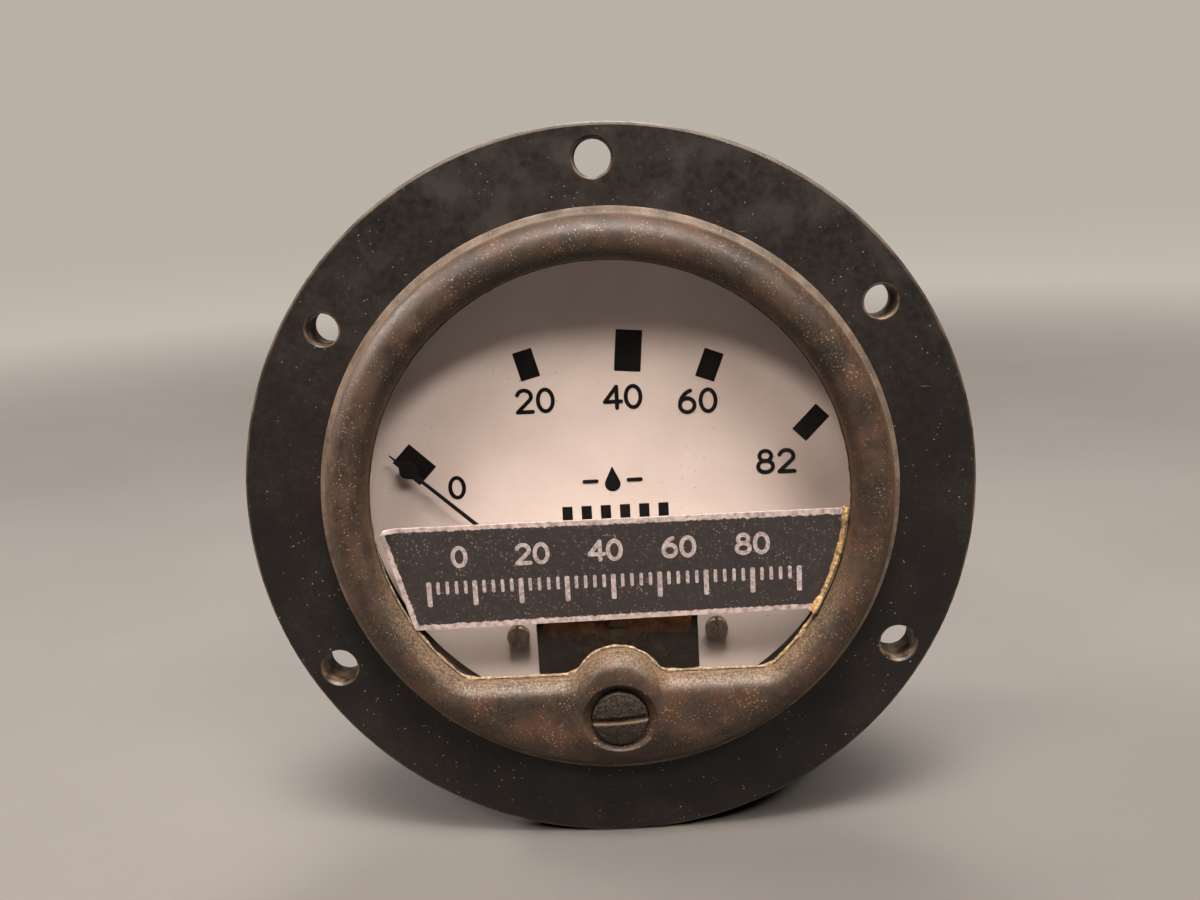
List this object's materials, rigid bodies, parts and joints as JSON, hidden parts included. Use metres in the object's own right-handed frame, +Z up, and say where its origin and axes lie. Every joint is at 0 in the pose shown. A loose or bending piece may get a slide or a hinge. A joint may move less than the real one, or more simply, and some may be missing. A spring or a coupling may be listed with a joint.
{
  "type": "panel fuel gauge",
  "caption": "Round flange-mounted moving-coil fuel gauge: sprung needle over a white dial, zero adjuster, rear terminal studs.",
  "frame": {"origin": "centre of the panel screw circle, on the back face of the flange that bears on the panel", "axes": "-Y out of the dial towards the reader, +Y back along the barrel, +Z up the dial, +X to the reader's right"},
  "size_m": [0.0888, 0.068, 0.0888],
  "materials": {
    "black_phenolic": "satin moulded phenolic, dusty",
    "brown_phenolic": "worn matt brown phenolic with fine filler specks",
    "window_glass": "clear flat glass",
    "gasket": "matt black",
    "spring_steel": "oiled spring steel",
    "placard": "black-filled aluminium plate with bare edges",
    "blackened_brass": "chemically blackened, worn on the rim",
    "brass": "turned, lightly tarnished",
    "dial_enamel": "warm white stoving enamel",
    "dial_screw_metal": "dull nickel-worn brass",
    "copper": "enamelled copper",
    "bronze_strip": "phosphor bronze, tarnished",
    "needle_black": "matt black lacquer",
    "stop_sleeve": "dark red rubber sleeve",
    "steel": "plain turned steel",
    "former_aluminium": "plain rolled",
    "soft_iron": "ground soft iron",
    "magnet_steel": "cast and ground magnet alloy, painted grey",
    "bobbin": "brown turned phenolic",
    "resistance_wire": "enamelled resistance wire",
    "lug_tin": "tinned brass",
    "lead_sleeve": "red varnished sleeving"
  },
  "bodies": {
    "gauge_body": {"case_moulding": "black_phenolic", "bezel_cover": "brown_phenolic", "window_gasket": "gasket", "window_glass": "window_glass", "glass_snap_ring": "spring_steel", "placard_plate": "placard", "zero_bush": "brass", "dial_plate": "dial_enamel", "dial_screws": "dial_screw_metal", "dial_spacers": "brass", "needle_stops": "stop_sleeve", "front_bridge": "bronze_strip", "bridge_pillars": "brass", "front_jewel_screw": "brass", "front_lock_nut": "bronze_strip", "rear_hairspring": "bronze_strip", "iron_core": "soft_iron", "core_support": "brass", "core_screws": "steel", "pole_pieces": "soft_iron", "horseshoe_magnet": "magnet_steel", "magnet_screws": "steel", "pole_screws": "steel", "movement_plate": "brass", "movement_screws": "dial_screw_metal", "rear_bridge": "brass", "rear_pillars": "brass", "rear_bridge_screws": "steel", "rear_jewel_screw": "brass", "rear_lock_nut": "bronze_strip", "resistor_bobbin": "bobbin", "resistor_winding": "resistance_wire", "resistor_screw": "steel", "terminal_studs": "brass", "terminal_lugs": "lug_tin", "clamp_washers": "brass", "clamp_nuts": "brass", "wire_washers": "brass", "wire_nuts": "brass", "lead_wires": "lead_sleeve"},
    "zero_screw": {"zero_adjust_screw": "blackened_brass", "zero_screw_clip": "spring_steel"},
    "zero_regulator": {"zero_regulator": "bronze_strip", "front_hairspring": "bronze_strip"},
    "moving_element": {"pointer": "needle_black", "balance_weights": "copper", "pivot_staffs": "steel", "spring_collets": "brass", "coil_former": "former_aluminium", "coil_winding": "copper"}
  },
  "joints": [
    {"name": "zero_screw_turn", "type": "hinge", "parent": "gauge_body", "child": "zero_screw", "pos_m": [0, -0.007, -0.02662], "axis": [0, -1, 0], "range_deg": [-45, 45]},
    {"name": "regulator_turn", "type": "hinge", "parent": "gauge_body", "child": "zero_regulator", "pos_m": [0, 0.0051, -0.01953], "axis": [0, -1, 0], "range_deg": [-6, 6]},
    {"name": "needle_swing", "type": "hinge", "parent": "zero_regulator", "child": "moving_element", "pos_m": [0, 0.015, -0.01953], "axis": [0, 1, 0], "range_deg": [-2, 93], "stiffness_Nm_per_rad": 0.00003}
  ],
  "couplings": [
    {"joint": "regulator_turn", "follows": "zero_screw_turn", "ratio": 0.118}
  ]
}
